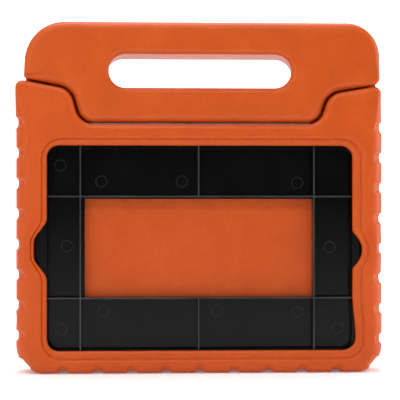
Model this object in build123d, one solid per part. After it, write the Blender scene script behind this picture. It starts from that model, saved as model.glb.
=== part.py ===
from build123d import *
import os
from math import cos, radians

# Foam carry case for a small tablet, with a handle that folds back as a stand.
# Millimetres. X runs across the case, Y from its front to its back, and Z up.
# The origin is on the surface that the case stands on, under its middle.

# The tablet that the case is made for, and the clearance it gets all round.
TABLET_WIDTH = 200.0
TABLET_HEIGHT = 134.7
TABLET_THICKNESS = 7.5
TABLET_CORNER = 9.5
TABLET_CLEARANCE = 0.4

# Foam body.
HALF_WIDTH = 115.0
BODY_FRONT = -14.0
BODY_BACK = 14.0
BOTTOM_CORNER = 17.6
SHOULDER_CORNER = 4.5
BODY_EDGE = 4.0
SPLIT_Y = 1.0  # the shoulders stand in front of this plane, and the handle's arms lie behind it
POCKET_FRONT = -10.0
POCKET_BACK = -2.0
POCKET_CENTRE_Z = 78.0
OPENING_WIDTH = 192.8
OPENING_HEIGHT = 128.8
OPENING_CORNER = 7.5
BUTTON_CUTOUT_RADIUS = 12.0
BUTTON_CUTOUT_REACH = 102.5
EAR_CUTOUT_REACH = 104.2
EAR_CUTOUT_HALF_MOUTH = 19.2
EAR_CUTOUT_HALF_FLOOR = 7.0
RECESS_HALF_WIDTH = 70.0
RECESS_BOTTOM = 22.0
RECESS_TOP = 140.0
RECESS_FLOOR_Y = 6.0
RECESS_CORNER = 12.0

# Seam between the body's shoulders and the handle: its line on the right half.
SEAM_GAP = 1.2
SEAM_END_Z = 182.9
SEAM_KNEE = (80.5, 176.8)
SEAM_FOOT = (74.7, 156.5)
KNEE_RADIUS = 12.0
FOOT_RADIUS = 11.0

# Grip grooves round the sides and the bottom.
GROOVE_RADIUS = 5.5
GROOVE_DEPTH = 1.0
SIDE_GROOVES = 8
SIDE_GROOVE_FIRST_Z = 23.6
SIDE_GROOVE_PITCH = 18.9
BOTTOM_GROOVES = 9
BOTTOM_GROOVE_PITCH = 21.26

# Openings for the tablet's own ports.
CAMERA_X = -90.6
CAMERA_Z = 136.0
CAMERA_RADIUS = 4.8
CAMERA_BAY_OUTER_X = -95.6
CAMERA_BAY_INNER_X = -76.5
CAMERA_BAY_BOTTOM = 126.0
CAMERA_BAY_TOP = 145.0
CAMERA_BAY_FLOOR_Y = 2.0
CAMERA_BAY_CORNER = 5.0
PORT_Y = -5.8
CHARGING_WIDTH = 42.0
CHARGING_HEIGHT = 6.4
EARPHONE_Z = 33.0
EARPHONE_RADIUS = 3.4

# Foam handle.
HANDLE_FRONT = -13.0
HANDLE_TOP = 220.0
HANDLE_HALF_WIDTH = 111.2
HANDLE_HALF_FOOT = 110.2
HANDLE_CORNER = 21.0
HANDLE_FOOT_CORNER = 4.2
HANDLE_EDGE = 4.0
SLOT_WIDTH = 115.0
SLOT_HEIGHT = 22.0
SLOT_Z = 189.5
ARM_INNER_X = 99.0
ARM_OUTER_X = 110.4
ARM_GAP = 0.6

# Pivots, on one axis along X.
PIVOT_Z = 95.0
SWING_DEG = 120.0
ARM_FRONT = SPLIT_Y + ARM_GAP
ARM_HALF = (BODY_BACK - ARM_FRONT) / 2
PIVOT_Y = (BODY_BACK + ARM_FRONT) / 2
CHANNEL_WALL_X = 98.2
CHANNEL_HALF = ARM_HALF + 0.8
BOSS_RADIUS = 4.0
BOSS_INNER_X = 82.0
BOSS_FLANGE_RADIUS = 5.5
BOSS_FLANGE = 2.0
BOSS_RING = 1.5
JOURNAL_RADIUS = 3.0
JOURNAL_END_X = 106.2
HUB_RADIUS = 4.3
HUB_BORE = 3.04
HUB_END_X = 106.0
ARM_PLATE_X = 101.5
ARM_PLATE_THICKNESS = 2.0
ARM_PLATE_WIDTH = 7.0
ARM_PLATE_TOP = 204.0
KEY_HOLE_RADIUS = 2.0
KEY_HOLE_PITCH = 22.0
RETAINER_RADIUS = 4.0
RETAINER_BORE = 1.6
RETAINER_THICKNESS = 0.8
SCREW_RADIUS = 1.25
PILOT_RADIUS = 1.3
SCREW_LENGTH = 12.0
SCREW_HEAD_RADIUS = 2.9
SCREW_HEAD = 1.8
CAP_RADIUS = 5.0
CAP_BORE = 4.33
CAP_START_X = 103.5
CAP_FLOOR_X = 109.6
CAP_END_X = 111.0

# Insert frame that keeps the pocket's shape while no tablet is in it.
INSERT_FLOOR = 1.2
INSERT_WALL = 1.2
RIM_WIDTH = 4.5
RIM_INNER_CORNER = 7.0
RIB = 1.2
RIB_X = 73.0
WINDOW_BOTTOM = 46.4
WINDOW_TOP = 110.0
CENTRE_RIB_X = -1.0
PIN_MARK_RADIUS = 3.9
PIN_MARK_HEIGHT = 0.25
PIN_MARKS = [(-87.6, 129.7), (-61.9, 119.6), (-11.3, 119.6), (61.6, 118.9), (-83.3, 79.0),
             (82.1, 78.3), (-60.5, 38.4), (11.0, 38.4), (61.6, 37.7), (87.0, 27.0), (-87.0, 27.0)]

POCKET_WIDTH = TABLET_WIDTH + 2 * TABLET_CLEARANCE
POCKET_HEIGHT = TABLET_HEIGHT + 2 * TABLET_CLEARANCE
INSERT_BACK = POCKET_BACK
INSERT_FRONT = INSERT_BACK - TABLET_THICKNESS
INSERT_CENTRE_Z = POCKET_CENTRE_Z - TABLET_CLEARANCE


def slab(sketch, front, back):
    """Extrude a sketch drawn in X and Z from the plane Y = front to Y = back."""
    plane = Plane(origin=(0, back, 0), x_dir=(1, 0, 0), z_dir=(0, -1, 0))
    return extrude(plane * sketch, amount=back - front)


def bar(radius, start, end, y=PIVOT_Y, z=PIVOT_Z):
    """A round bar along X."""
    plane = Plane(origin=(start, y, z), x_dir=(0, 1, 0), z_dir=(1, 0, 0))
    return extrude(plane * Circle(radius), amount=end - start)


def block(low, high):
    """A box between two corners."""
    size = [h - l for l, h in zip(low, high)]
    middle = [(l + h) / 2 for l, h in zip(low, high)]
    return Pos(*middle) * Box(*size)


def rounded(width, height, corner, x=0.0, z=0.0):
    """A rectangle with round corners, drawn in X and Z."""
    return Pos(x, z) * RectangleRounded(width, height, corner)


def outline(points, corners):
    """A closed outline in X and Z, each point with its corner radius."""
    return make_face(FilletPolyline(*points, radius=corners, close=True))


def mirrored(right_half):
    """The points of the right half, then those of the left half, in reverse."""
    return right_half + [(-x, z) for x, z in reversed(right_half)]


def seam(shift):
    """The seam's knee and foot on the right, moved by shift towards the handle, and their radii."""
    knee = (SEAM_KNEE[0] - shift, SEAM_KNEE[1] + shift)
    foot = (SEAM_FOOT[0] - shift, SEAM_FOOT[1] + shift)
    return [knee, foot], [KNEE_RADIUS + shift, FOOT_RADIUS - shift]


def body_shell():
    """The outer shape of the foam body, with its shoulders in front."""
    shift = -SEAM_GAP / 2
    seam_points, seam_radii = seam(shift)
    right = [(HALF_WIDTH, 0), (HALF_WIDTH, SEAM_END_Z + shift)] + seam_points
    corners = [BOTTOM_CORNER, SHOULDER_CORNER] + seam_radii
    front = slab(outline(mirrored(right), corners + corners[::-1]), BODY_FRONT, SPLIT_Y)
    front = fillet(front.faces().sort_by(Axis.Y)[0].edges(), BODY_EDGE)
    top = SEAM_FOOT[1] + shift
    rear_right = [(HALF_WIDTH, 0), (HALF_WIDTH, top)]
    rear_corners = [BOTTOM_CORNER, 0, 0, BOTTOM_CORNER]
    rear = slab(outline(mirrored(rear_right), rear_corners), SPLIT_Y, BODY_BACK)
    back_edges = rear.faces().sort_by(Axis.Y)[-1].edges()
    rear = fillet([edge for edge in back_edges if edge.center().Z < top - 1], BODY_EDGE)
    return front + rear


def pocket():
    """The space for the tablet, the front opening and its two cut-outs."""
    tablet_space = slab(
        rounded(POCKET_WIDTH, POCKET_HEIGHT, TABLET_CORNER, z=POCKET_CENTRE_Z),
        POCKET_FRONT, POCKET_BACK)
    mouth = rounded(OPENING_WIDTH, OPENING_HEIGHT, OPENING_CORNER, z=POCKET_CENTRE_Z)
    button_x = BUTTON_CUTOUT_REACH - BUTTON_CUTOUT_RADIUS
    button = Pos(button_x, POCKET_CENTRE_Z) * Circle(BUTTON_CUTOUT_RADIUS)
    edge = -OPENING_WIDTH / 2
    ear = outline(
        [(edge + 1, POCKET_CENTRE_Z + EAR_CUTOUT_HALF_MOUTH),
         (edge - 0.6, POCKET_CENTRE_Z + EAR_CUTOUT_HALF_MOUTH - 2),
         (-EAR_CUTOUT_REACH, POCKET_CENTRE_Z + EAR_CUTOUT_HALF_FLOOR),
         (-EAR_CUTOUT_REACH, POCKET_CENTRE_Z - EAR_CUTOUT_HALF_FLOOR),
         (edge - 0.6, POCKET_CENTRE_Z - EAR_CUTOUT_HALF_MOUTH + 2),
         (edge + 1, POCKET_CENTRE_Z - EAR_CUTOUT_HALF_MOUTH)],
        [0, 2, 6, 6, 2, 0])
    return tablet_space + slab(mouth + button + ear, BODY_FRONT - 1, POCKET_FRONT)


def arm_channels():
    """The space in which each arm of the handle lies and swings."""
    start, end = CHANNEL_WALL_X, HALF_WIDTH + 1
    upright = block((start, SPLIT_Y, PIVOT_Z), (end, BODY_BACK + 1, HANDLE_TOP))
    swung = block((start, -CHANNEL_HALF, 0), (end, CHANNEL_HALF, 40))
    swung = Pos(0, PIVOT_Y, PIVOT_Z) * Rot(-SWING_DEG, 0, 0) * swung
    behind = block((start, PIVOT_Y, PIVOT_Z), (end, BODY_BACK + 1, PIVOT_Z + CHANNEL_HALF))
    right = upright + swung + behind + bar(CHANNEL_HALF, start, end)
    return right + mirror(right, Plane.YZ)


def grooves():
    """The grip grooves down both sides, along the bottom and at the bottom corners."""
    out = GROOVE_RADIUS - GROOVE_DEPTH
    centres = []
    for side in (-1, 1):
        for i in range(SIDE_GROOVES):
            centres.append((side * (HALF_WIDTH + out), SIDE_GROOVE_FIRST_Z + i * SIDE_GROOVE_PITCH))
        reach = (BOTTOM_CORNER + out) * cos(radians(45))
        centres.append((side * (HALF_WIDTH - BOTTOM_CORNER + reach), BOTTOM_CORNER - reach))
    for i in range(BOTTOM_GROOVES):
        centres.append(((i - (BOTTOM_GROOVES - 1) / 2) * BOTTOM_GROOVE_PITCH, -out))
    return [slab(Pos(x, z) * Circle(GROOVE_RADIUS), BODY_FRONT - 1, BODY_BACK + 1)
            for x, z in centres]


def port_openings():
    """The rear camera's hole and bay, and the side openings for charging and earphones."""
    camera = slab(Pos(CAMERA_X, CAMERA_Z) * Circle(CAMERA_RADIUS), POCKET_BACK - 1, BODY_BACK)
    bay_size = (CAMERA_BAY_INNER_X - CAMERA_BAY_OUTER_X, CAMERA_BAY_TOP - CAMERA_BAY_BOTTOM)
    bay_middle = ((CAMERA_BAY_INNER_X + CAMERA_BAY_OUTER_X) / 2,
                  (CAMERA_BAY_TOP + CAMERA_BAY_BOTTOM) / 2)
    bay = slab(rounded(*bay_size, CAMERA_BAY_CORNER, *bay_middle), CAMERA_BAY_FLOOR_Y, BODY_BACK + 1)
    plane = Plane(origin=(TABLET_WIDTH / 2 - 2, PORT_Y, POCKET_CENTRE_Z), x_dir=(0, 0, 1),
                  z_dir=(1, 0, 0))
    shape = RectangleRounded(CHARGING_WIDTH, CHARGING_HEIGHT, CHARGING_HEIGHT / 2.01)
    charging = extrude(plane * shape, amount=HALF_WIDTH - TABLET_WIDTH / 2 + 4)
    earphones = bar(EARPHONE_RADIUS, -HALF_WIDTH - 2, -TABLET_WIDTH / 2 + 2, PORT_Y, EARPHONE_Z)
    return [camera, bay, charging, earphones]


def foam_body():
    """The whole foam body."""
    recess = slab(
        rounded(2 * RECESS_HALF_WIDTH, RECESS_TOP - RECESS_BOTTOM, RECESS_CORNER,
                z=(RECESS_TOP + RECESS_BOTTOM) / 2),
        RECESS_FLOOR_Y, BODY_BACK + 1)
    body = body_shell() - pocket() - recess - arm_channels()
    for cutter in grooves() + port_openings():
        body -= cutter
    seat = pivot_boss() + bar(JOURNAL_RADIUS, BOSS_INNER_X, JOURNAL_END_X)
    return body - seat - mirror(seat, Plane.YZ)


def foam_handle():
    """The foam handle with its two arms, hollow where the plastic arms are moulded in."""
    shift = SEAM_GAP / 2
    foot_z = SEAM_END_Z + shift - 1.0
    seam_points, seam_radii = seam(shift)
    right = [(HANDLE_HALF_WIDTH, HANDLE_TOP), (HANDLE_HALF_FOOT, foot_z)] + seam_points
    corners = [HANDLE_CORNER, HANDLE_FOOT_CORNER] + seam_radii
    loop = outline(mirrored(right), corners + corners[::-1])
    grip = slab(loop, HANDLE_FRONT, BODY_BACK)
    grip = fillet(grip.faces().sort_by(Axis.Y)[0].edges(), HANDLE_EDGE)
    slot = slab(rounded(SLOT_WIDTH, SLOT_HEIGHT, SLOT_HEIGHT / 2.01, z=SLOT_Z),
                HANDLE_FRONT - 1, BODY_BACK + 1)
    foot = block((-ARM_OUTER_X, ARM_FRONT, SEAM_FOOT[1] + shift), (ARM_OUTER_X, BODY_BACK, 192))
    arm = block((ARM_INNER_X, ARM_FRONT, PIVOT_Z), (ARM_OUTER_X, BODY_BACK, SEAM_FOOT[1] + 4))
    arm += bar(ARM_HALF, ARM_INNER_X, ARM_OUTER_X)
    handle = grip + foot + arm + mirror(arm, Plane.YZ) - slot
    inside = hinge_arm() + bar(HUB_BORE + 0.5, ARM_INNER_X, HUB_END_X)
    inside += bar(CAP_RADIUS, CAP_START_X, CAP_END_X + 1)
    return handle - inside - mirror(inside, Plane.YZ)


def insert_frame():
    """The ribbed frame: a thin floor with a window, crossed by ribs, in a hollow rim."""
    z = INSERT_CENTRE_Z
    frame = slab(rounded(TABLET_WIDTH, TABLET_HEIGHT, TABLET_CORNER, z=z), INSERT_FRONT, INSERT_BACK)
    inner_width = TABLET_WIDTH - 2 * RIM_WIDTH
    inner_height = TABLET_HEIGHT - 2 * RIM_WIDTH
    floor_y = INSERT_BACK - INSERT_FLOOR
    frame -= slab(rounded(inner_width, inner_height, RIM_INNER_CORNER, z=z), INSERT_FRONT, floor_y)
    channel = (rounded(TABLET_WIDTH - 2 * INSERT_WALL, TABLET_HEIGHT - 2 * INSERT_WALL,
                       TABLET_CORNER - INSERT_WALL, z=z)
               - rounded(inner_width + 2 * INSERT_WALL, inner_height + 2 * INSERT_WALL,
                         RIM_INNER_CORNER + INSERT_WALL, z=z))
    frame -= slab(channel, INSERT_FRONT + INSERT_WALL, INSERT_BACK)
    left, right = -inner_width / 2 - 0.5, inner_width / 2 + 0.5
    low, high = z - inner_height / 2 - 0.5, z + inner_height / 2 + 0.5
    ribs = [(-RIB_X - RIB, low, -RIB_X, high), (RIB_X, low, RIB_X + RIB, high),
            (left, WINDOW_BOTTOM - RIB, right, WINDOW_BOTTOM),
            (left, WINDOW_TOP, right, WINDOW_TOP + RIB),
            (CENTRE_RIB_X - RIB / 2, low, CENTRE_RIB_X + RIB / 2, WINDOW_BOTTOM),
            (CENTRE_RIB_X - RIB / 2, WINDOW_TOP, CENTRE_RIB_X + RIB / 2, high)]
    for x0, z0, x1, z1 in ribs:
        frame += block((x0, INSERT_FRONT, z0), (x1, floor_y, z1))
    for x, mark_z in PIN_MARKS:
        frame += slab(Pos(x, mark_z) * Circle(PIN_MARK_RADIUS), floor_y - PIN_MARK_HEIGHT, floor_y)
    return frame - block((-RIB_X, INSERT_FRONT - 1, WINDOW_BOTTOM),
                         (RIB_X, INSERT_BACK + 1, WINDOW_TOP))


def pivot_boss():
    """The boss that is moulded into the body, with the journal that the hub turns on."""
    boss = bar(BOSS_RADIUS, BOSS_INNER_X, CHANNEL_WALL_X)
    boss += bar(BOSS_FLANGE_RADIUS, CHANNEL_WALL_X - BOSS_FLANGE, CHANNEL_WALL_X)
    for start in (BOSS_INNER_X, (BOSS_INNER_X + CHANNEL_WALL_X) / 2 - BOSS_RING):
        boss += bar(BOSS_FLANGE_RADIUS, start, start + BOSS_RING)
    boss += bar(JOURNAL_RADIUS, CHANNEL_WALL_X, JOURNAL_END_X)
    return boss - bar(PILOT_RADIUS, JOURNAL_END_X - SCREW_LENGTH - 1, JOURNAL_END_X)


def friction_washer():
    """The washer between the boss's flange and the hub's inner end."""
    return (bar(BOSS_FLANGE_RADIUS, CHANNEL_WALL_X, ARM_INNER_X)
            - bar(JOURNAL_RADIUS + 0.1, CHANNEL_WALL_X, ARM_INNER_X))


def hinge_arm():
    """The plastic arm inside a foam arm: a hub, and a plate with keying holes above it."""
    hub = bar(HUB_RADIUS, ARM_INNER_X, HUB_END_X)
    start = ARM_PLATE_X - ARM_PLATE_THICKNESS / 2
    end = ARM_PLATE_X + ARM_PLATE_THICKNESS / 2
    half = ARM_PLATE_WIDTH / 2
    plate = block((start, PIVOT_Y - half, PIVOT_Z), (end, PIVOT_Y + half, ARM_PLATE_TOP - half))
    plate += bar(half, start, end, z=ARM_PLATE_TOP - half)
    z = PIVOT_Z + KEY_HOLE_PITCH
    while z < ARM_PLATE_TOP - half:
        plate -= bar(KEY_HOLE_RADIUS, start, end, z=z)
        z += KEY_HOLE_PITCH
    return hub + plate - bar(HUB_BORE, ARM_INNER_X, HUB_END_X)


def retaining_washer():
    """The steel washer on the journal's end, which keeps the hub on it."""
    start, end = JOURNAL_END_X, JOURNAL_END_X + RETAINER_THICKNESS
    return bar(RETAINER_RADIUS, start, end) - bar(RETAINER_BORE, start, end)


def pivot_screw():
    """The self-tapping screw, with a cross recess in its head."""
    seat = JOURNAL_END_X + RETAINER_THICKNESS
    screw = bar(SCREW_RADIUS, JOURNAL_END_X - SCREW_LENGTH, seat)
    screw += bar(SCREW_HEAD_RADIUS, seat, seat + SCREW_HEAD)
    for turn in (0, 90):
        blade = Box(2.0, 0.7, 3.2)
        screw -= Pos(seat + SCREW_HEAD, PIVOT_Y, PIVOT_Z) * Rot(turn, 0, 0) * blade
    return screw


def pivot_cap():
    """The round cap over the screw, pushed on the hub's end."""
    cap = bar(CAP_RADIUS, CAP_START_X, CAP_END_X)
    cap = fillet(cap.faces().sort_by(Axis.X)[-1].edges(), 0.6)
    return cap - bar(CAP_BORE, CAP_START_X, CAP_FLOOR_X)


os.makedirs("parts", exist_ok=True)
export_step(foam_body(), "parts/foam_body.step")
export_step(foam_handle(), "parts/foam_handle.step")
export_step(insert_frame(), "parts/insert_frame.step")
for name, make in [("pivot_boss", pivot_boss), ("friction_washer", friction_washer),
                   ("hinge_arm", hinge_arm), ("retaining_washer", retaining_washer),
                   ("pivot_screw", pivot_screw), ("pivot_cap", pivot_cap)]:
    export_step(make(), f"parts/{name}_right.step")
    export_step(mirror(make(), Plane.YZ), f"parts/{name}_left.step")
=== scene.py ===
# %% [markdown]
# # A child's foam tablet case, in Blender
#
# The real case is one thick moulding of EVA foam, with a second moulding as its carry handle, and
# a black plastic frame that keeps the tablet's place. The mechanical parts come from a CAD model,
# and each soft or visible shell is modelled again here around it, with the soft edges and the
# grain that CAD leaves out.

import math

import bmesh
import bpy
import numpy as np
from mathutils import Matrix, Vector


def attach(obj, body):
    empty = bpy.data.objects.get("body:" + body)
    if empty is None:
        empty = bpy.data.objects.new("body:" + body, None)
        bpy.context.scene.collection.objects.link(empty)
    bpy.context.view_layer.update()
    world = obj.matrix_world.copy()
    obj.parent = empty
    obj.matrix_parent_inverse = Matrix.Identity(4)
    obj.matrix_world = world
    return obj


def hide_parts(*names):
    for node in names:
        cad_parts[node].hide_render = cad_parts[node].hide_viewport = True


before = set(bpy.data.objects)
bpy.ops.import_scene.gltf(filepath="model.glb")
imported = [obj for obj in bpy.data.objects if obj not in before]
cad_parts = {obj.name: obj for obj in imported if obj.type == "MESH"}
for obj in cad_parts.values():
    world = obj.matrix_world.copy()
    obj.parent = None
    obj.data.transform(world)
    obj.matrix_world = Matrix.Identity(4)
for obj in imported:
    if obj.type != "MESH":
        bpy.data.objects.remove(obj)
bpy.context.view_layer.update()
MM = 0.001

# %% [markdown]
# ## Camera
#
# A product picture of a flat thing is taken from far away with a long lens, so that the outline
# stays true. The camera stands a little to the left of the middle and at half the case's height.
# An Empty could aim it, but one look direction, worked out from two points, is shorter.

# %% Camera
CAMERA_PLACE = Vector((-0.030, -0.764, 0.108))
CAMERA_AIM = Vector((-0.0003, -0.014, 0.1080))
FRAME_WIDTH = 248.6 * MM

bpy.ops.object.select_all(action="DESELECT")
bpy.ops.object.camera_add(location=CAMERA_PLACE)
camera = bpy.context.object
camera.rotation_euler = (CAMERA_AIM - CAMERA_PLACE).to_track_quat("-Z", "Y").to_euler()
camera.data.sensor_width = 36
camera.data.lens = camera.data.sensor_width * (CAMERA_AIM - CAMERA_PLACE).length / FRAME_WIDTH
bpy.context.scene.camera = camera
bpy.context.scene.view_settings.view_transform = "Standard"
print(f"lens {camera.data.lens:.0f} mm")

# %% [markdown]
# ## Contours with matching stops
#
# Both foam mouldings are a stack of closed contours, from the middle of the front, round the
# outside and to the middle of the back, as a boat's hull is drawn. Each contour is described for
# its right half, as a row of points with round corners, and is divided between the same marks, so
# that stop 20 of one contour is joined to stop 20 of the next one. Subdivision surfaces could give
# the same shell, but then the narrow crease round the front and the grip notches would need their
# own edge loops everywhere.


# %% Contours
ARC_POINTS = 40
FINE_STEP = 0.1


def smooth(x):
    """0 below 0, 1 above 1, and a smooth rise between them."""
    x = np.clip(x, 0, 1)
    return x * x * (3 - 2 * x)


def rounded_path(points, radii):
    """The row of points as a fine line, whose inner points are rounded with the radii."""
    points = [np.array(p, float) for p in points]
    line = [points[0]]
    for before, corner, after, radius in zip(points, points[1:], points[2:], radii):
        into = (corner - before) / np.hypot(*(corner - before))
        out = (after - corner) / np.hypot(*(after - corner))
        turn = math.atan2(into[0] * out[1] - into[1] * out[0], into @ out)
        start = corner - into * radius * math.tan(abs(turn) / 2)
        side = math.copysign(1, turn)
        centre = start + side * radius * np.array([-into[1], into[0]])
        arm = start - centre
        for angle in turn * np.linspace(0, 1, ARC_POINTS):
            c, s = math.cos(angle), math.sin(angle)
            line.append(centre + np.array([arm[0] * c - arm[1] * s, arm[0] * s + arm[1] * c]))
    return np.array(line + [points[-1]])


def spread(ends, counts):
    """Even values from each end to the next one, so many at a time, and then the last end."""
    rows = [np.linspace(a, b, n, endpoint=False) for a, b, n in zip(ends, ends[1:], counts)]
    return np.concatenate(rows + [ends[-1:]])


def divided(path, marks, counts):
    """The path as points, with so many stops from each mark to the next one."""
    steps = np.hypot(*np.diff(path, axis=0).T)
    fine = spread(path, [max(int(step / FINE_STEP), 1) for step in steps])
    run = np.concatenate([[0], np.cumsum(np.hypot(*np.diff(fine, axis=0).T))])
    at = [run[np.argmin(np.hypot(*(fine - mark).T))] for mark in marks]
    stops = spread(at, counts)
    return np.stack([np.interp(stops, run, fine[:, 0]), np.interp(stops, run, fine[:, 1])], 1)


def whole(right, left):
    """A closed contour from two halves, which are both given with positive X."""
    return np.vstack([right, left[1:-1][::-1] * (-1, 1)])


def outward(contour):
    """The direction out of a closed contour at each stop."""
    along = np.roll(contour, -1, 0) - np.roll(contour, 1, 0)
    normal = np.stack([along[:, 1], -along[:, 0]], 1)
    return normal / np.maximum(np.hypot(*normal.T)[:, None], 1e-9)


def arc_point(x, z, radius, degrees):
    """The point of a circle at an angle from its first axis towards its second."""
    angle = math.radians(degrees)
    return x + radius * math.cos(angle), z + radius * math.sin(angle)


def quarter(steps):
    """The angles of a quarter turn, from 0 to 90 degrees."""
    return [math.radians(90) * i / steps for i in range(steps + 1)]


def box_half(half_width, bottom, top, radius):
    """The right half of a rectangle with round corners."""
    return rounded_path([(0, bottom), (half_width, bottom), (half_width, top), (0, top)],
                        [radius, radius])


# %% [markdown]
# ## From contours to a skin
#
# Each loop is a contour with a depth, in millimetres. The skin between two loops is a band of
# four-sided faces, and a loop that shrinks to a point closes the shell. The mesh is written as
# lists, because a hundred thousand faces made by one operator call each would take an hour.


# %% Skin
WELD = 0.01 * MM
FILL_STEPS = (0, 0.25, 0.5, 0.75, 0.97)


def skin(name, loops, ring=False):
    """A mesh object over loops of X, Y and Z in mm, which is closed at both ends or a ring."""
    count = len(loops[0])
    points = np.vstack(loops) * MM
    bands = len(loops) if ring else len(loops) - 1
    here = np.arange(count)
    after = np.roll(here, -1)
    faces = []
    for i in range(bands):
        a, b = i * count, (i + 1) % len(loops) * count
        faces += np.stack([a + here, a + after, b + after, b + here], 1).tolist()
    mesh = bpy.data.meshes.new(name)
    mesh.from_pydata(points.tolist(), [], faces)
    piece = bpy.data.objects.new(name, mesh)
    bpy.context.scene.collection.objects.link(piece)
    pick(piece)
    bpy.ops.object.mode_set(mode="EDIT")
    bpy.ops.mesh.select_all(action="SELECT")
    bpy.ops.mesh.remove_doubles(threshold=WELD)
    bpy.ops.mesh.dissolve_degenerate(threshold=WELD)
    bpy.ops.mesh.select_all(action="SELECT")
    bpy.ops.mesh.normals_make_consistent(inside=False)
    bpy.ops.object.mode_set(mode="OBJECT")
    report(piece)
    return piece


def report(piece):
    """Print a piece's volume and how many of its edges don't have two faces."""
    shape = bmesh.new()
    shape.from_mesh(piece.data)
    loose = sum(1 for edge in shape.edges if len(edge.link_faces) != 2)
    volume = shape.calc_volume(signed=True) * 1e6
    print(f"{piece.name}: {len(shape.faces)} faces, {volume:.1f} cm3, {loose} open edges")
    shape.free()


def pick(piece):
    """Select one object and make it the active one."""
    bpy.ops.object.select_all(action="DESELECT")
    piece.select_set(True)
    bpy.context.view_layer.objects.active = piece


def at_depth(contour, y):
    """A contour as a loop at the depth y, which is one number or one for each stop."""
    return np.stack([contour[:, 0], np.broadcast_to(y, len(contour)), contour[:, 1]], 1)


def fill(contour, y, from_middle=True):
    """Loops that close a flat contour, from the middle outwards or the other way."""
    middle = np.array([0, contour[:, 1].mean()])
    loops = [at_depth(middle + (contour - middle) * k, y) for k in FILL_STEPS]
    return loops if from_middle else loops[::-1]


# %% [markdown]
# ## The foam body's outline and opening
#
# The body is 230 mm wide, and the two shoulders stand up at its sides in front of the handle's
# foot. The shoulders are not quite alike, and the left one is about 3 mm higher. The opening is
# smaller than the tablet all round, so that the lip holds it, with a cut-out for the tablet's
# button on the right and one for its earpiece on the left.

# %% Body contours
HALF_WIDTH = 115.0
BODY_FRONT, BODY_BACK = -14.0, 14.0
SPLIT_Y = 1.0
BODY_TOP = 155.3
BOTTOM_CORNER = 17.6
CORNER_X = HALF_WIDTH - BOTTOM_CORNER
KNEE_X, SEAM_FOOT_X = 81.1, 75.3
SEAM_ROUNDS = [4.5, 11.4, 11.6]
SIDE_MARKS = [(0, 0), (CORNER_X, 0), (HALF_WIDTH, BOTTOM_CORNER), (HALF_WIDTH, 84),
              (HALF_WIDTH, 95), (HALF_WIDTH, 137), (HALF_WIDTH, 151.9)]
COUNTS = [180, 56, 130, 22, 84, 30, 60, 44, 30, 40]


def body_front_half(shoulder, knee_z):
    """The body's outline in front, with the height of its shoulder and of the seam's knee."""
    points = [(0, 0), (HALF_WIDTH, 0), (HALF_WIDTH, shoulder), (KNEE_X, knee_z),
              (SEAM_FOOT_X, BODY_TOP), (0, BODY_TOP)]
    path = rounded_path(points, [BOTTOM_CORNER, *SEAM_ROUNDS])
    seam_marks = [(113.7, shoulder - 1.3), (KNEE_X, knee_z), (66, BODY_TOP), (0, BODY_TOP)]
    return divided(path, SIDE_MARKS + seam_marks, COUNTS)


def body_rear_half():
    """The body's outline behind the shoulders, where its top is straight."""
    path = rounded_path([(0, 0), (HALF_WIDTH, 0), (HALF_WIDTH, BODY_TOP), (0, BODY_TOP)],
                        [BOTTOM_CORNER, 4.0])
    top_marks = [(111, BODY_TOP), (84, BODY_TOP), (66, BODY_TOP), (0, BODY_TOP)]
    return divided(path, SIDE_MARKS + top_marks, COUNTS)


def inner_half(half_width, bottom, top, radius):
    """Half of the opening, the pocket or the recess, with stops that face the outline's."""
    side = (bottom + top) / 2
    path = box_half(half_width, bottom, top, radius)
    width = half_width - radius
    low, high = (arc_point(width, top - radius, radius, a) for a in (45, 70))
    marks = [(0, bottom), (width, bottom), (half_width, bottom + radius), (half_width, side + 3),
             (half_width, side + 13), (half_width, top - radius), low, high, (width, top),
             (width * 0.75, top), (0, top)]
    return divided(path, marks, COUNTS)


front_outline = whole(body_front_half(180.0, 174.3), body_front_half(183.3, 176.9))
front_outward = outward(front_outline)
rear = body_rear_half()
rear_outline = whole(rear, rear)
rear_outward = outward(rear_outline)

OPENING_HALF, OPENING_BOTTOM, OPENING_TOP, OPENING_CORNER = 95.3, 14.1, 141.9, 7.5
LIP_RIGHT, LIP_LEFT, LIP_BOTTOM, LIP_TOP = 1.2, 0.62, 1.05, 0.82
EAR_REACH, EAR_Z, EAR_HALF, EAR_RAMP = 8.2, 77.3, 19.5, 15.5
BUTTON_REACH, BUTTON_Z, BUTTON_HALF = 6.1, 76.7, 11.3
FLARE, FLARE_TOP, FLARE_RAMP = 1.9, 50, 28


def opening(grow):
    """The front opening, enlarged by the lip's own share on each side."""
    bottom, top = OPENING_BOTTOM - grow * LIP_BOTTOM, OPENING_TOP + grow * LIP_TOP
    return whole(*(inner_half(OPENING_HALF + grow * share, bottom, top, OPENING_CORNER + grow)
                   for share in (LIP_RIGHT, LIP_LEFT)))


def cut_out(contour):
    """How far the two cut-outs move the opening's edge outwards, at each point's height."""
    z = contour[:, 1]
    ear = EAR_REACH * smooth((EAR_HALF - abs(z - EAR_Z)) / EAR_RAMP)
    bowl = 1 - ((z - BUTTON_Z) / BUTTON_HALF) ** 2
    button = BUTTON_REACH * 0.5 * (bowl + np.sqrt(bowl ** 2 + 0.02))
    flare = FLARE * smooth((FLARE_TOP - z) / FLARE_RAMP)
    return np.where(contour[:, 0] < 0, ear, button + flare)


def cut(contour):
    """A contour with the cut-outs, which fade from the opening's edge to the outside."""
    fade = np.clip((HALF_WIDTH - abs(contour[:, 0])) / (HALF_WIDTH - OPENING_HALF), 0, 1)
    near = smooth((abs(contour[:, 0]) - 80) / 15) * fade
    shift = cut_out(contour) * near * np.sign(contour[:, 0])
    return contour + np.stack([shift, 0 * shift], 1)


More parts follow.
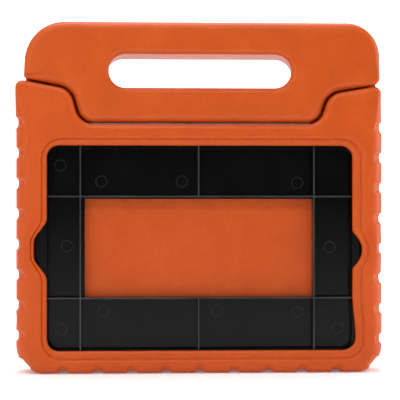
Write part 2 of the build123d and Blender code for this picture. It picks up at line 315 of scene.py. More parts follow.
# %% [markdown]
# ## Grip notches
#
# Shallow round notches run across the sides, the bottom and the two lower corners. Each one has
# crisp edges and a round end on the front and on the back. Cutting them with a boolean would work
# too, but pushing the skin in where it is near a notch leaves one clean mesh.

# %% Grip notches
SIDE_NOTCHES, SIDE_PITCH = 8, 18.95
LEFT_FIRST, RIGHT_FIRST = 23.6, 20.9
BOTTOM_NOTCHES, BOTTOM_PITCH = 9, 21.26
NOTCH_HALF, NOTCH_DEPTH, NOTCH_STEEPNESS = 3.5, 1.45, 3.8
CORNER_HALF, CORNER_DEPTH = 5.4, 1.5
NO_NOTCH = 99.0


def notch_distance(contour):
    """Each stop's distance along the outline from the nearest notch, and if it is a corner's."""
    x, z = contour.T
    first = np.where(x > 0, RIGHT_FIRST, LEFT_FIRST)
    number = np.clip(np.round((z - first) / SIDE_PITCH), 0, SIDE_NOTCHES - 1)
    side = np.where(abs(x) > HALF_WIDTH - 3, abs(z - first - number * SIDE_PITCH), NO_NOTCH)
    number = np.clip(np.round(x / BOTTOM_PITCH), -(BOTTOM_NOTCHES // 2), BOTTOM_NOTCHES // 2)
    under = np.where(z < 3, abs(x - number * BOTTOM_PITCH), NO_NOTCH)
    plain = np.minimum(side, under)
    dx, dz = abs(x) - CORNER_X, BOTTOM_CORNER - z
    corner = abs(np.arctan2(dz, dx) - math.radians(45)) * BOTTOM_CORNER
    corner = np.where((dx > 0) & (dz > 0), corner, NO_NOTCH)
    return np.where(corner < CORNER_HALF, corner, plain), corner < CORNER_HALF


def notch(contour, beyond):
    """The notches' depth at each stop. beyond is the way past where their round ends start."""
    along, at_corner = notch_distance(contour)
    half = np.where(at_corner, CORNER_HALF, NOTCH_HALF)
    depth = np.where(at_corner, CORNER_DEPTH, NOTCH_DEPTH)
    distance = np.hypot(along, np.maximum(beyond, 0) * half / NOTCH_HALF)
    return depth * (1 - np.minimum(distance / half, 1) ** NOTCH_STEEPNESS)


# %% [markdown]
# ## The lip and the crease round the opening
#
# A moulded lip about 5 mm wide runs round the opening, with a crease between it and the frame. It
# is a short list of distances from the opening's edge and depths. The outer edge is a quarter
# round that is wide at the sides, narrower at the bottom and small along the seam.

# %% Body loops
LIP = [(0.8, -10.0), (0.1, -10.3), (0.0, -11.2), (0.0, -12.0), (0.25, -12.7), (0.8, -13.2),
       (1.5, -13.5), (2.4, -13.65), (3.4, -13.55), (4.2, -13.2), (4.8, -12.8), (5.2, -12.95),
       (5.6, -13.5), (6.1, -13.85), (6.8, -13.97), (7.6, -14.0)]
SIDE_ROUND, BOTTOM_ROUND, SEAM_ROUND = 9.5, 6.0, 3.6
POCKET_BACK, RECESS_FLOOR = -2.0, 6.0
BACK_ROUND = 2.8
POCKET_HALF, POCKET_BOTTOM, POCKET_TOP, POCKET_CORNER = 100.4, 10.25, 145.75, 9.5
RECESS_HALF, RECESS_BOTTOM, RECESS_TOP, RECESS_CORNER = 70.0, 22.0, 140.0, 12.0
FRONT_STEPS, BACK_STEPS = 15, 6
BOTTOM_REACH, SIDE_REACH = 0.97, 0.80

x, z = front_outline.T
up_the_corner = smooth(np.arctan2(z - BOTTOM_CORNER, abs(x) - CORNER_X) / math.radians(90) + 1)
up_the_corner = np.where((abs(x) > CORNER_X) | (z > 90), up_the_corner, 0)
up_the_corner = np.where(z > BOTTOM_CORNER, 1, up_the_corner)
edge_round = BOTTOM_ROUND + (SIDE_ROUND - BOTTOM_ROUND) * up_the_corner
to_seam = np.where(abs(x) > HALF_WIDTH - 0.01, smooth((z - 146) / 32), z > 100)
edge_round = edge_round + (SEAM_ROUND - edge_round) * to_seam

pocket_half = inner_half(POCKET_HALF, POCKET_BOTTOM, POCKET_TOP, POCKET_CORNER)
pocket = whole(pocket_half, pocket_half)
at_side = abs(pocket[:, 0]) > POCKET_HALF - 1.4
room = np.maximum(cut_out(pocket) + 1.4 - (POCKET_HALF - OPENING_HALF), 0) * at_side
pocket_wall = pocket + np.stack([room * np.sign(pocket[:, 0]), 0 * room], 1)

loops = fill(pocket_wall, POCKET_BACK)
loops += [at_depth(pocket_wall, y) for y in (POCKET_BACK, -3.0, -6.5, -10.0)]
loops += [at_depth(cut(opening(grow)), y) for grow, y in LIP]

inner_edge = cut(opening(LIP[-1][0]))
round_start = cut(front_outline - front_outward * edge_round[:, None])
loops += [at_depth(inner_edge + (round_start - inner_edge) * k, BODY_FRONT) for k in (0.33, 0.67)]

notch_reach = np.where(front_outline[:, 1] < 3, BOTTOM_REACH, SIDE_REACH)
for angle in quarter(FRONT_STEPS):
    contour = cut(front_outline - front_outward * (edge_round * (1 - math.sin(angle)))[:, None])
    from_side = edge_round * (math.radians(90) - angle)
    round_end = edge_round * math.radians(90) * notch_reach - NOTCH_HALF
    depth = notch(front_outline, from_side - round_end)
    contour = contour - front_outward * (depth * math.sin(angle))[:, None]
    y = BODY_FRONT + edge_round * (1 - math.cos(angle)) + depth * math.cos(angle)
    loops.append(at_depth(contour, y))
notched_front = front_outline - front_outward * notch(front_outline, 0)[:, None]
for k in (0.33, 0.67, 1):
    loops.append(at_depth(notched_front, (BODY_FRONT + edge_round) * (1 - k) + SPLIT_Y * k))

notched_rear = rear_outline - rear_outward * notch(rear_outline, 0)[:, None]
loops += [at_depth(notched_rear, y) for y in (SPLIT_Y, 3.0, 7.0, BODY_BACK - BACK_ROUND)]
for angle in quarter(BACK_STEPS)[1:]:
    depth = notch(rear_outline, BACK_ROUND * angle - 0.5)
    inset = BACK_ROUND * (1 - math.cos(angle)) + depth * math.cos(angle)
    contour = rear_outline - rear_outward * inset[:, None]
    y = BODY_BACK - BACK_ROUND * (1 - math.sin(angle)) - depth * math.sin(angle)
    loops.append(at_depth(contour, y))


def recess(grow):
    """The outline of the shallow recess in the back, enlarged all round."""
    half = inner_half(RECESS_HALF + grow, RECESS_BOTTOM - grow, RECESS_TOP + grow,
                      RECESS_CORNER + grow)
    return whole(half, half)


back_edge = rear_outline - rear_outward * BACK_ROUND
loops += [at_depth(back_edge + (recess(1.5) - back_edge) * k, BODY_BACK) for k in (0.12, 0.5, 1)]
loops += [at_depth(recess(grow), y) for grow, y in ((0.45, 13.56), (0, 12.5), (0, RECESS_FLOOR))]
loops += fill(recess(0), RECESS_FLOOR, from_middle=False)

LEAN, LEAN_FROM_Z, LEAN_FULL_IN, LEAN_FROM_X, LEAN_FADE = 1.3, 148, 24, 101, 13
for loop in loops:
    x, z = loop[:, 0], loop[:, 2]
    up, across = (z - LEAN_FROM_Z) / LEAN_FULL_IN, (x - LEAN_FROM_X) / LEAN_FADE
    loop[:, 0] -= LEAN * smooth(up) * smooth(across)

body = skin("case_body_foam", loops)

# %% [markdown]
# ## Channels and ports
#
# The handle's arms lie in two open channels at the back, and the tablet's camera, charging port
# and earphone socket each have their opening. A boolean is the plainest tool for a hole through a
# thick wall.


# %% Cutters
def cutter(outline, axis, start, end):
    """A prism along one axis, over an outline in mm that holds the other two coordinates."""
    rows = []
    for at in (start, end):
        for u, v in outline:
            point = [u, v]
            point.insert("XYZ".index(axis), at)
            rows.append([c * MM for c in point])
    n = len(outline)
    faces = [[i, (i + 1) % n, n + (i + 1) % n, n + i] for i in range(n)]
    faces += [list(range(n))[::-1], list(range(n, 2 * n))]
    mesh = bpy.data.meshes.new("cutter")
    mesh.from_pydata(rows, [], faces)
    tool = bpy.data.objects.new("cutter", mesh)
    bpy.context.scene.collection.objects.link(tool)
    pick(tool)
    bpy.ops.object.mode_set(mode="EDIT")
    bpy.ops.mesh.select_all(action="SELECT")
    bpy.ops.mesh.normals_make_consistent(inside=False)
    bpy.ops.object.mode_set(mode="OBJECT")
    return tool


def boolean(piece, tool, operation="DIFFERENCE"):
    """Apply a boolean and delete the tool."""
    pick(piece)
    change = piece.modifiers.new("boolean", "BOOLEAN")
    change.object, change.operation, change.solver = tool, operation, "MANIFOLD"
    bpy.ops.object.modifier_apply(modifier=change.name)
    bpy.data.objects.remove(tool)
    report(piece)


def circle(u, v, radius, count=48):
    """A circle, as a list of points."""
    angles = [2 * math.pi * i / count for i in range(count)]
    return [(u + radius * math.cos(a), v + radius * math.sin(a)) for a in angles]


def rounded_box(u0, v0, u1, v1, radius, count=10):
    """A rectangle with round corners, as a list of points."""
    corners = [(u1 - radius, v0 + radius, -90), (u1 - radius, v1 - radius, 0),
               (u0 + radius, v1 - radius, 90), (u0 + radius, v0 + radius, 180)]
    return [arc_point(u, v, radius, start + 90 * i / count)
            for u, v, start in corners for i in range(count + 1)]


PIVOT_Y, PIVOT_Z = 7.8, 95.0
CHANNEL_HALF, CHANNEL_WALL = 7.0, 98.2
CHANNEL_FRONT, CHANNEL_TOP = SPLIT_Y - 0.03, 190.0
SWING = 120
CHARGING_SLOT = rounded_box(-9.0, 57.0, -2.6, 99.0, 3.1)
EARPHONE_HOLE = circle(-5.8, 33.0, 3.4)
CAMERA_HOLE = circle(-90.6, 136.0, 4.8)
CAMERA_WELL = rounded_box(-95.6, 126.0, -76.5, 145.0, 5.0)
PORT_START = 98.0
outside_x, outside_y = HALF_WIDTH + 3, BODY_BACK + 2

hub_angles = [math.radians(a) for a in np.linspace(76, SWING - 90, 12)]
hub = [(PIVOT_Y - CHANNEL_HALF * math.sin(a), PIVOT_Z - CHANNEL_HALF * math.cos(a))
       for a in hub_angles]
hub_end_y, hub_end_z = hub[-1]
slope = math.tan(math.radians(SWING - 90))
channel = [(CHANNEL_FRONT, CHANNEL_TOP), (CHANNEL_FRONT, hub[0][1])] + hub
channel += [(outside_y, hub_end_z - slope * (outside_y - hub_end_y)), (outside_y, CHANNEL_TOP)]
for side in (1, -1):
    boolean(body, cutter(channel, "X", side * CHANNEL_WALL, side * outside_x))
boolean(body, cutter(CHARGING_SLOT, "X", PORT_START, outside_x))
boolean(body, cutter(EARPHONE_HOLE, "X", -outside_x, -PORT_START))
boolean(body, cutter(CAMERA_HOLE, "Y", POCKET_BACK - 1, 8.0))
boolean(body, cutter(CAMERA_WELL, "Y", 2.0, outside_y))

# %% [markdown]
# ## The foam handle
#
# The handle is a ring round the hand slot, so its loops run round the section and end where they
# started. Its front is pillowed, and at the back its foot reaches down to the body's top. The two
# arms are bars with a round end, joined to the ring by a boolean.

# %% Handle
HANDLE_FRONT, HANDLE_BACK, HANDLE_TOP = -13.0, 14.0, 219.2
HANDLE_RIGHT, HANDLE_LEFT = 113.0, 108.7
RIGHT_CORNER, LEFT_CORNER = 21.0, 25.0
HANDLE_FOOT_Z = 156.5
HANDLE_KNEE_X, HANDLE_SEAM_FOOT_X = 79.9, 74.1
HANDLE_SEAM_ROUNDS = [10.4, 12.6]
ARM_FRONT, ARM_INNER, ARM_OUTER, ARM_HALF, ARM_TOP = 1.6, 99.0, 110.4, 6.2, 164.0
ARM_BEVEL = 1.6 * MM
CAP_RADIUS, CAP_FLOOR_X = 5.1, 103.4
HANDLE_COUNTS = [70, 28, 44, 22, 60, 90]


def handle_half(low_points, low_marks, low_radii, top_x, corner):
    """Half of the handle's outline. Its low end is given, and its top is the same all through."""
    path = rounded_path([(0, HANDLE_FOOT_Z), *low_points, (top_x, HANDLE_TOP), (0, HANDLE_TOP)],
                        [*low_radii, corner])
    marks = [(0, HANDLE_FOOT_Z), (65, HANDLE_FOOT_Z), *low_marks, (top_x, HANDLE_TOP - corner),
             (top_x - corner, HANDLE_TOP), (0, HANDLE_TOP)]
    return divided(path, marks, HANDLE_COUNTS)


def handle_front_half(foot_x, foot, knee_z, foot_corner, top_x, corner):
    """Half of the handle's outline in front, where it follows the seam up to the knee."""
    knee = (HANDLE_KNEE_X, knee_z)
    return handle_half([(HANDLE_SEAM_FOOT_X, HANDLE_FOOT_Z), knee, (foot_x, foot)],
                       [knee, (foot_x, foot)], [*HANDLE_SEAM_ROUNDS, foot_corner],
                       top_x, corner)


def handle_rear_half(top_x, corner):
    """Half of the handle's outline at the back, where its low end is straight."""
    return handle_half([(ARM_OUTER, HANDLE_FOOT_Z)],
                       [(84, HANDLE_FOOT_Z), (108.5, HANDLE_FOOT_Z + 1.9)], [6.5], top_x, corner)


SLOT_HALF, SLOT_Z, SLOT_HALF_HEIGHT = 57.0, 188.5, 10.5
SLOT_DROP, SLOT_SPREAD = 0.8, 2.6


def slot(grow, depth=0.0):
    """The hand slot's outline. Towards the back, at depth 1, it is a little lower and longer."""
    radius = SLOT_HALF_HEIGHT + grow
    low, high = SLOT_Z - SLOT_HALF_HEIGHT - grow, SLOT_Z + SLOT_HALF_HEIGHT + grow
    path = box_half(SLOT_HALF + grow, low, high, radius - 0.01)
    middle = SLOT_HALF - SLOT_HALF_HEIGHT
    round_marks = [arc_point(middle, SLOT_Z, radius, a) for a in (-38, 8, 30, 65)]
    half = divided(path, [(0, low), (42, low)] + round_marks + [(0, high)], HANDLE_COUNTS)
    contour = whole(half, half)
    contour[:, 0] *= 1 + SLOT_SPREAD * depth / SLOT_HALF
    contour[:, 1] -= SLOT_DROP * depth
    return contour


handle_outline = whole(handle_front_half(112.7, 180.8, 175.4, 4.4, HANDLE_RIGHT, RIGHT_CORNER),
                       handle_front_half(109.6, 184.0, 177.9, 1.7, HANDLE_LEFT, LEFT_CORNER))
handle_outward = outward(handle_outline)
handle_rear = whole(handle_rear_half(HANDLE_RIGHT, RIGHT_CORNER),
                    handle_rear_half(HANDLE_LEFT, LEFT_CORNER))
handle_rear_outward = outward(handle_rear)

PILLOW, FOOT_PILLOW = 5.0, 2.1
SLOT_ROUND, SLOT_REAR_ROUND, REAR_ROUND = 3.6, 1.6, 4.0
ROUND_STEPS = 12
x, z = handle_outline.T
from_foot = smooth((np.hypot(abs(x) - 110.5, z - 183.5) - 1) / 18)
pillow = FOOT_PILLOW + (PILLOW - FOOT_PILLOW) * from_foot


def between(start, end, y):
    """Loops between two contours of a flat face."""
    return [at_depth(start + (end - start) * k, y) for k in (0.25, 0.5, 0.75)]


loops = []
for angle in quarter(ROUND_STEPS):
    loops.append(at_depth(slot(SLOT_ROUND * (1 - math.cos(angle))),
                          HANDLE_FRONT + SLOT_ROUND * (1 - math.sin(angle))))
slot_edge, slot_rear_edge = slot(SLOT_ROUND), slot(SLOT_REAR_ROUND, 1)
pillow_edge = handle_outline - handle_outward * pillow[:, None]
loops += between(slot_edge, pillow_edge, HANDLE_FRONT)
for angle in quarter(ROUND_STEPS):
    contour = handle_outline - handle_outward * (pillow * (1 - math.sin(angle)))[:, None]
    loops.append(at_depth(contour, HANDLE_FRONT + pillow * (1 - math.cos(angle))))
loops += [at_depth(handle_outline, y) for y in (-3.0, ARM_FRONT)]
loops += [at_depth(handle_rear, y) for y in (ARM_FRONT, 5.0)]
for angle in quarter(ROUND_STEPS):
    contour = handle_rear - handle_rear_outward * (REAR_ROUND * (1 - math.cos(angle)))
    loops.append(at_depth(contour, HANDLE_BACK - REAR_ROUND * (1 - math.sin(angle))))
rear_edge = handle_rear - handle_rear_outward * REAR_ROUND
loops += between(rear_edge, slot_rear_edge, HANDLE_BACK)
for angle in quarter(ROUND_STEPS):
    loops.append(at_depth(slot(SLOT_REAR_ROUND * (1 - math.sin(angle)), 1),
                          HANDLE_BACK - SLOT_REAR_ROUND * (1 - math.cos(angle))))
handle = skin("carry_handle_foam", loops, ring=True)



def soften(piece, width, segments, angle):
    """Bevel a piece's edges that are sharper than an angle."""
    pick(piece)
    bevel = piece.modifiers.new("soften", "BEVEL")
    bevel.width, bevel.segments, bevel.angle_limit = width, segments, math.radians(angle)
    bpy.ops.object.modifier_apply(modifier=bevel.name)


arm_angles = [math.radians(a) for a in np.linspace(0, 180, 25)]
arm_side = [(PIVOT_Y - ARM_HALF * math.cos(a), PIVOT_Z - ARM_HALF * math.sin(a))
            for a in arm_angles]
arm_side += [(HANDLE_BACK, ARM_TOP), (ARM_FRONT, ARM_TOP)]
cap_well = circle(PIVOT_Y, PIVOT_Z, CAP_RADIUS)
for side in (1, -1):
    arm = cutter(arm_side, "X", side * ARM_INNER, side * ARM_OUTER)
    soften(arm, ARM_BEVEL, 4, 60)
    boolean(handle, arm, "UNION")
    boolean(handle, cutter(cap_well, "X", side * CAP_FLOOR_X, side * (ARM_OUTER + 2)))

# %% [markdown]
# ## The black insert frame
#
# An injection-moulded frame fills the tablet's place until there is a tablet. It starts as a cube:
# its corners are bevelled, the front is inset for the rim, and the middle is pushed back to leave
# a thin floor. The ribs have draft, so they are thinner at the front, as every deep rib is, to let
# it out of the mould.

# %% Insert frame
INSERT_SIZE = (200.0, 7.5, 134.7)
INSERT_MIDDLE = (0.0, -5.75, 77.6)
INSERT_FRONT, INSERT_FLOOR = -9.5, -3.2
RIM, RIM_CORNER = 4.5, 9.5
RIB_LEFT, RIB_RIGHT, WINDOW_LOW, WINDOW_HIGH = -74.7, 71.4, 46.7, 110.2
RIB_ROOT, RIB_TIP, RIB_FRONT, RIB_BACK = 1.6, 1.0, -9.65, INSERT_FLOOR + 0.4
RIB_BOTTOM, RIB_TOP, RIB_END, MIDDLE_RIB = 12.0, 143.2, 98.0, -1.0
PIN_RADIUS, PIN_DIMPLE, PIN_FRONT = 3.9, 3.1, INSERT_FLOOR - 0.45
PIN_MARKS = [(-87.6, 129.7), (-61.9, 119.6), (-11.3, 119.6), (61.6, 118.9), (-83.3, 79.0),
             (82.1, 78.3), (-60.5, 38.4), (11.0, 38.4), (61.6, 37.7), (87.0, 27.0), (-87.0, 27.0)]

bpy.ops.object.select_all(action="DESELECT")
bpy.ops.mesh.primitive_cube_add(size=1, location=[c * MM for c in INSERT_MIDDLE])
insert = bpy.context.object
insert.name = "insert_plastic_frame"
insert.scale = [s * MM for s in INSERT_SIZE]
bpy.ops.object.transform_apply(location=True, rotation=True, scale=True)


def select_where(piece, kind, test):
    """Select the edges or faces whose middle and direction pass a test, in edit mode."""
    bpy.ops.object.mode_set(mode="EDIT")
    bpy.ops.mesh.select_mode(type=kind)
    bpy.ops.mesh.select_all(action="DESELECT")
    bpy.ops.object.mode_set(mode="OBJECT")
    mesh = piece.data
    if kind == "FACE":
        for face in mesh.polygons:
            face.select = test(face.center / MM, face.normal)
    else:
        for edge in mesh.edges:
            a, b = (mesh.vertices[v].co for v in edge.vertices)
            edge.select = test((a + b) / 2 / MM, (b - a).normalized())
    bpy.ops.object.mode_set(mode="EDIT")


select_where(insert, "EDGE", lambda middle, along: abs(along.y) > 0.9)
bpy.ops.mesh.bevel(offset=RIM_CORNER * MM, segments=10, affect="EDGES")
bpy.ops.object.mode_set(mode="OBJECT")
select_where(insert, "FACE", lambda middle, normal: normal.y < -0.9)
bpy.ops.mesh.inset(thickness=RIM * MM)
to_floor = (0, (INSERT_FLOOR - INSERT_FRONT) * MM, 0)
bpy.ops.mesh.extrude_region_move(TRANSFORM_OT_translate={"value": to_floor})
bpy.ops.object.mode_set(mode="OBJECT")

ribs = [("Z", RIB_LEFT, RIB_BOTTOM, RIB_TOP), ("Z", RIB_RIGHT, RIB_BOTTOM, RIB_TOP),
        ("X", WINDOW_LOW, -RIB_END, RIB_END), ("X", WINDOW_HIGH, -RIB_END, RIB_END),
        ("Z", MIDDLE_RIB, RIB_BOTTOM, WINDOW_LOW), ("Z", MIDDLE_RIB, WINDOW_HIGH, RIB_TOP)]
for axis, at, start, end in ribs:
    section = [(at - RIB_ROOT / 2, RIB_BACK), (at + RIB_ROOT / 2, RIB_BACK),
               (at + RIB_TIP / 2, RIB_FRONT), (at - RIB_TIP / 2, RIB_FRONT)]
    if axis == "X":
        section = [(y, z) for z, y in section]
    boolean(insert, cutter(section, axis, start, end), "UNION")
for x0, x1 in ((-103.4, -99.0), (99.0, 102.4)):
    tab = rounded_box(x0, 66.5, x1, 87.5, 1.5)
    boolean(insert, cutter(tab, "Y", -5.0, POCKET_BACK - 0.1), "UNION")
for px, pz in PIN_MARKS:
    boolean(insert, cutter(circle(px, pz, PIN_RADIUS), "Y", PIN_FRONT, RIB_BACK), "UNION")
    dimple = circle(px, pz, PIN_DIMPLE)
    boolean(insert, cutter(dimple, "Y", INSERT_FLOOR - 2, INSERT_FLOOR - 0.1))
window_left, window_right = RIB_LEFT + 2.4, RIB_RIGHT - RIB_TIP / 2
window_bottom, window_top = WINDOW_LOW + RIB_TIP / 2, WINDOW_HIGH - 1.5
window = [(window_left, window_bottom), (window_right, window_bottom),
          (window_right, window_top), (window_left, window_top)]
boolean(insert, cutter(window, "Y", INSERT_FRONT - 1, POCKET_BACK + 1))
soften(insert, 0.25 * MM, 2, 50)

for piece, angle in ((body, 32), (handle, 32), (insert, 50)):
    pick(piece)
    bpy.ops.object.shade_smooth_by_angle(angle=math.radians(angle))
pick(insert)
even = insert.modifiers.new("even", "WEIGHTED_NORMAL")
even.keep_sharp = True
bpy.ops.object.modifier_apply(modifier=even.name)

# %% [markdown]
# ## Materials
#
# Every colour is the one that the eye reads, as an sRGB hex value, and one function turns it to
# the linear value that the shader needs. A second small function adds any node with its settings
# and links.


# %% Material helpers
def colour(hex_value):
    """An sRGB hex colour as linear RGBA."""
    parts = [int(hex_value[i:i + 2], 16) / 255 for i in (1, 3, 5)]
    return [c / 12.92 if c <= 0.04045 else ((c + 0.055) / 1.055) ** 2.4 for c in parts] + [1.0]


def node(tree, kind, links=(), **settings):
    """Add a node. Settings that name an input set its value, and links join outputs to inputs."""
    made = tree.nodes.new(kind)
    for key, value in settings.items():
        if key in made.inputs.keys():
            made.inputs[key].default_value = value
        elif key.replace("_", " ") in made.inputs.keys():
            made.inputs[key.replace("_", " ")].default_value = value
        else:
            setattr(made, key, value)
    for output, socket in links:
        tree.links.new(output, made.inputs[socket])
    return made


def new_material(name, roughness, metallic=0.0, ior=1.5):
    """A material, with its node tree and its shader."""
    material = bpy.data.materials.new(name)
    material.use_nodes = True
    tree = material.node_tree
    shader = tree.nodes["Principled BSDF"]
    shader.inputs["Roughness"].default_value = roughness
    shader.inputs["Metallic"].default_value = metallic
    shader.inputs["IOR"].default_value = ior
    return material, tree, shader


def noise(tree, place, size_mm, **settings):
    """A noise texture in the piece's own coordinates, with features of about this size."""
    return node(tree, "ShaderNodeTexNoise", [(place.outputs["Object"], "Vector")],
                Scale=1 / (size_mm * MM), **settings)


def ramp(tree, factor, stops):
    """A colour ramp with (position, hex colour) stops."""
    made = node(tree, "ShaderNodeValToRGB", [(factor, "Fac")])
    band = made.color_ramp
    band.elements[0].position, band.elements[1].position = stops[0][0], stops[-1][0]
    band.elements[0].color, band.elements[1].color = colour(stops[0][1]), colour(stops[-1][1])
    for position, value in stops[1:-1]:
        band.elements.new(position).color = colour(value)
    return made


# %% [markdown]
# ### Moulded EVA foam
#
# Closed-cell EVA foam comes out of the mould with a skin that copies the mould's fine leather
# grain. It is satin, and its colour drifts slightly from place to place. The grain is about 0.9 mm
# across, and there is a soft unevenness about 14 mm across.


# %% Foam
GRAIN_MM = 0.9


def foam(name, deep, plain, light):
    """Moulded foam in three shades, from the darkest to the lightest."""
    material, tree, shader = new_material(name, 0.52, ior=1.45)
    place = node(tree, "ShaderNodeTexCoord")
    drift = noise(tree, place, 18, Detail=3.0, Roughness=0.55)
    mottle = noise(tree, place, 2.4, Detail=4.0, Roughness=0.7)
    both = node(tree, "ShaderNodeMix", [(drift.outputs["Fac"], "A"), (mottle.outputs["Fac"], "B")],
                data_type="FLOAT", Factor=0.45)
    tint = ramp(tree, both.outputs["Result"], [(0.30, deep), (0.5, plain), (0.72, light)])
    tree.links.new(tint.outputs["Color"], shader.inputs["Base Color"])
    grain = node(tree, "ShaderNodeTexVoronoi", [(place.outputs["Object"], "Vector")],
                 feature="F1", Scale=1 / (GRAIN_MM * MM), Randomness=1.0)
    pores = noise(tree, place, 0.5, Detail=3.0)
    relief = node(tree, "ShaderNodeMix",
                  [(grain.outputs["Distance"], "A"), (pores.outputs["Fac"], "B")],
                  data_type="FLOAT", Factor=0.5)
    bump = node(tree, "ShaderNodeBump", [(relief.outputs["Result"], "Height")],
                Strength=0.35, Distance=0.18 * MM)
    swell = noise(tree, place, 14, Detail=1.0)
    wave = node(tree, "ShaderNodeBump",
                [(swell.outputs["Fac"], "Height"), (bump.outputs["Normal"], "Normal")],
                Strength=0.5, Distance=0.6 * MM)
    tree.links.new(wave.outputs["Normal"], shader.inputs["Normal"])
    gloss = node(tree, "ShaderNodeMapRange", [(mottle.outputs["Fac"], "Value")],
                 To_Min=0.36, To_Max=0.47)
    tree.links.new(gloss.outputs["Result"], shader.inputs["Roughness"])
    shader.inputs["Specular IOR Level"].default_value = 0.33
    shader.inputs["Sheen Weight"].default_value = 0.02
    shader.inputs["Sheen Roughness"].default_value = 0.5
    shader.inputs["Sheen Tint"].default_value = colour("#ff9a66")
    return material


body_foam = foam("body_eva_foam", "#bf480d", "#c64e0f", "#cf5615")
handle_foam = foam("handle_eva_foam", "#bd490e", "#c44f10", "#cd5716")

# %% [markdown]
# ### Moulded plastics, rubber and steel
#
# The insert is black injection-moulded plastic with a fine spark-eroded texture. Its rib tips and
# the front faces of its ejector-pin rings are painted paler, unevenly, as a painted highlight where
# they would catch the light. The caps are the foam's colour in smooth plastic, and the bosses and
# arms are a tougher dark plastic. The inner washers are rubber. The screws and the outer washers
# are zinc-plated steel with a fine spangle.


# %% Plastics and metal
MIX_COLOUR_A, MIX_COLOUR_B, MIX_COLOUR_OUT = 6, 7, 2


def moulded(name, tone, lighter, roughness, texture_mm, depth_mm):
    """Moulded plastic or rubber, with the size and the depth of its texture."""
    material, tree, shader = new_material(name, roughness, ior=1.46)
    place = node(tree, "ShaderNodeTexCoord")
    cloud = noise(tree, place, 25, Detail=4.0, Roughness=0.6)
    tint = ramp(tree, cloud.outputs["Fac"], [(0.35, tone), (0.7, lighter)])
    tree.links.new(tint.outputs["Color"], shader.inputs["Base Color"])
    grain = noise(tree, place, texture_mm, Detail=2.0)
    bump = node(tree, "ShaderNodeBump", [(grain.outputs["Fac"], "Height")],
                Strength=0.4, Distance=depth_mm * MM)
    tree.links.new(bump.outputs["Normal"], shader.inputs["Normal"])
    gloss = node(tree, "ShaderNodeMapRange", [(cloud.outputs["Fac"], "Value")],
                 To_Min=roughness - 0.06, To_Max=roughness + 0.08)
    tree.links.new(gloss.outputs["Result"], shader.inputs["Roughness"])
    return material


insert_black = moulded("insert_black_abs", "#060505", "#090808", 0.17, 0.35, 0.012)
tree = insert_black.node_tree
shader = tree.nodes["Principled BSDF"]
shader.inputs["Specular IOR Level"].default_value = 0.18
place = node(tree, "ShaderNodeTexCoord")
depth = node(tree, "ShaderNodeSeparateXYZ", [(place.outputs["Object"], "Vector")])
# Painted highlight: the faces nearest the front, which are the rib tips, are mixed unevenly towards
# a paler grey, where they would catch the light.
lit_tip_mask = node(tree, "ShaderNodeMapRange", [(depth.outputs["Y"], "Value")],
              From_Min=(RIB_FRONT + 0.11) * MM, From_Max=(RIB_FRONT + 0.04) * MM)
uneven = noise(tree, place, 30, Detail=2.0)
tip_highlight = node(tree, "ShaderNodeMath", [(lit_tip_mask.outputs["Result"], 0), (uneven.outputs["Fac"], 1)],
            operation="MULTIPLY")
# Painted highlight on the front faces of the ejector-pin rings, joined with the rib tips'
# highlight.
ring = node(tree, "ShaderNodeMath", [(depth.outputs["Y"], 0)], operation="COMPARE")
ring.inputs[1].default_value, ring.inputs[2].default_value = PIN_FRONT * MM, 0.03 * MM
ring_highlight_mask = node(tree, "ShaderNodeMath", [(ring.outputs["Value"], 0), (uneven.outputs["Fac"], 1)],
             operation="MULTIPLY")
ring_highlight = node(tree, "ShaderNodeMapRange", [(ring_highlight_mask.outputs["Value"], "Value")], To_Max=0.3)
painted_highlight = node(tree, "ShaderNodeMath", [(tip_highlight.outputs["Value"], 0), (ring_highlight.outputs["Result"], 1)],
            operation="MAXIMUM")
plain = shader.inputs["Base Color"].links[0].from_socket
highlight_mix = node(tree, "ShaderNodeMix", [(painted_highlight.outputs["Value"], 0), (plain, MIX_COLOUR_A)],
            data_type="RGBA")
# The paler grey of the painted highlight.
highlight_mix.inputs[MIX_COLOUR_B].default_value = colour("#4e4e52")
tree.links.new(highlight_mix.outputs[MIX_COLOUR_OUT], shader.inputs["Base Color"])

pivot_black = moulded("pivot_black_nylon", "#1b1b1c", "#242425", 0.48, 0.3, 0.03)
cap_orange = moulded("cap_orange_abs", "#c94a16", "#d6561e", 0.38, 0.4, 0.02)
friction_rubber = moulded("friction_rubber", "#161616", "#1e1e1e", 0.75, 0.25, 0.05)

pivot_steel, tree, shader = new_material("pivot_zinc_plated_steel", 0.28, metallic=1.0)
place = node(tree, "ShaderNodeTexCoord")
spangle = noise(tree, place, 0.4, Detail=3.0)
tint = ramp(tree, spangle.outputs["Fac"], [(0.3, "#a9acb0"), (0.7, "#c9ccd0")])
tree.links.new(tint.outputs["Color"], shader.inputs["Base Color"])
bump = node(tree, "ShaderNodeBump", [(spangle.outputs["Fac"], "Height")],
            Strength=0.3, Distance=0.02 * MM)
tree.links.new(bump.outputs["Normal"], shader.inputs["Normal"])

# %% [markdown]
# ## What each piece is made of and what it moves with
#
# The three new shells replace their CAD solids. The small pivot parts are right as they are, so
# their CAD nodes stay and only get their finish.

# %% Finish each piece
for piece, finish, cad_node, ride_on, slot_name in (
        (body, body_foam, "foam_body", "case", "body_foam"),
        (handle, handle_foam, "foam_handle", "handle", "handle_foam"),
        (insert, insert_black, "insert_frame", "case", "insert_plastic")):
    piece.data.materials.clear()
    piece.data.materials.append(finish)
    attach(piece, ride_on)
    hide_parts(cad_node)

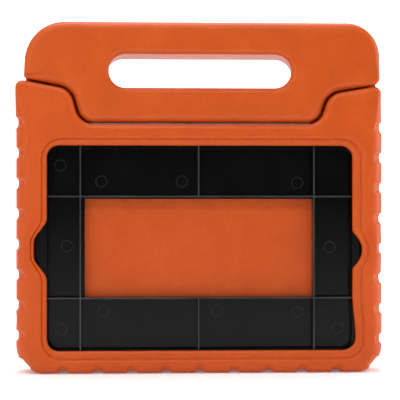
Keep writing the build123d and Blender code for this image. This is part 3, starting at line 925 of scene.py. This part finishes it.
CAD_FINISHES = {"pivot_boss": pivot_black, "hinge_arm": pivot_black, "pivot_cap": cap_orange,
                "friction_washer": friction_rubber, "retaining_washer": pivot_steel,
                "pivot_screw": pivot_steel}
for start, finish in CAD_FINISHES.items():
    for side in ("left", "right"):
        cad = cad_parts[f"{start}_{side}"]
        for slot_of_cad in cad.material_slots:
            slot_of_cad.material = finish
        if not cad.material_slots:
            cad.data.materials.append(finish)

# %% [markdown]
# ## Stage and light
#
# The case stands on a pale floor that runs up into a pale wall far behind, and both glow a little
# so that they stay white. Four soft lights are turned to the case: a key from the front left, a
# wide one overhead, a strip high in front, and a tall one at the right for the outer edge. The
# surround is pale, and dimmer towards the front, which keeps the black insert dark and the shadow
# soft.

# %% Stage
FLOOR_HALF, BACK_Y, WALL_HIGH, COVE = 3.0, 2.0, 3.0, 0.8
LIT_FROM_Y = 0.5
FLOOR_GAP = 0.0001
PAPER_GLOW, BACKDROP_GLOW = 0.13, 0.9
sweep = [(-FLOOR_HALF, 0.0), (LIT_FROM_Y, 0.0), (BACK_Y - COVE, 0.0)]
sweep += [(BACK_Y - COVE + COVE * math.sin(a), COVE - COVE * math.cos(a))
          for a in np.linspace(0, math.pi / 2, 16)[1:]]
sweep += [(BACK_Y, WALL_HIGH)]
rows = [(sx, sy, sz - FLOOR_GAP) for sx in (-FLOOR_HALF, FLOOR_HALF) for sy, sz in sweep]
n = len(sweep)
stage_mesh = bpy.data.meshes.new("studio_floor")
stage_mesh.from_pydata(rows, [], [[i, n + i, n + i + 1, i + 1] for i in range(n - 1)])
studio = bpy.data.objects.new("studio_floor", stage_mesh)
bpy.context.scene.collection.objects.link(studio)
pick(studio)
bpy.ops.object.shade_smooth_by_angle(angle=math.radians(40))
for name, glow in (("seamless_paper", PAPER_GLOW), ("lit_backdrop", BACKDROP_GLOW)):
    paper, tree, shader = new_material(name, 0.9)
    shader.inputs["Base Color"].default_value = colour("#f6f6f6")
    shader.inputs["Specular IOR Level"].default_value = 0.1
    shader.inputs["Emission Color"].default_value = colour("#ffffff")
    shader.inputs["Emission Strength"].default_value = glow
    studio.data.materials.append(paper)
for face in studio.data.polygons:
    face.material_index = int(face.center.y > LIT_FROM_Y)

world = bpy.data.worlds.new("studio_world")
bpy.context.scene.world = world
world.use_nodes = True
background = world.node_tree.nodes["Background"]
background.inputs["Color"].default_value = colour("#ffffff")
tree = world.node_tree
look = node(tree, "ShaderNodeTexCoord")
toward = node(tree, "ShaderNodeSeparateXYZ", [(look.outputs["Generated"], "Vector")])
pale = node(tree, "ShaderNodeMapRange", [(toward.outputs["Y"], "Value")],
            From_Min=-0.75, From_Max=-0.25, To_Min=0.10, To_Max=0.55)
tree.links.new(pale.outputs["Result"], background.inputs["Strength"])


MIDDLE = Vector((0, 0, 0.1))


def soft_light(name, place, size, power):
    """A rectangular light at a place, turned to the case's middle."""
    bpy.ops.object.select_all(action="DESELECT")
    bpy.ops.object.light_add(type="AREA", location=place)
    lamp = bpy.context.object
    lamp.name = name
    lamp.rotation_euler = (MIDDLE - Vector(place)).to_track_quat("-Z", "Y").to_euler()
    lamp.data.shape = "RECTANGLE"
    lamp.data.size, lamp.data.size_y = size
    lamp.data.energy = power


soft_light("key_from_the_left", (-0.90, -1.25, 0.60), (0.4, 0.4), 4.5)
soft_light("top_light", (-0.05, 0.05, 0.90), (0.9, 0.35), 5.5)
soft_light("upper_front", (0.0, -0.90, 0.98), (0.8, 0.22), 4.4)
soft_light("edge_from_right", (0.95, -0.05, 0.25), (0.25, 0.8), 5.0)
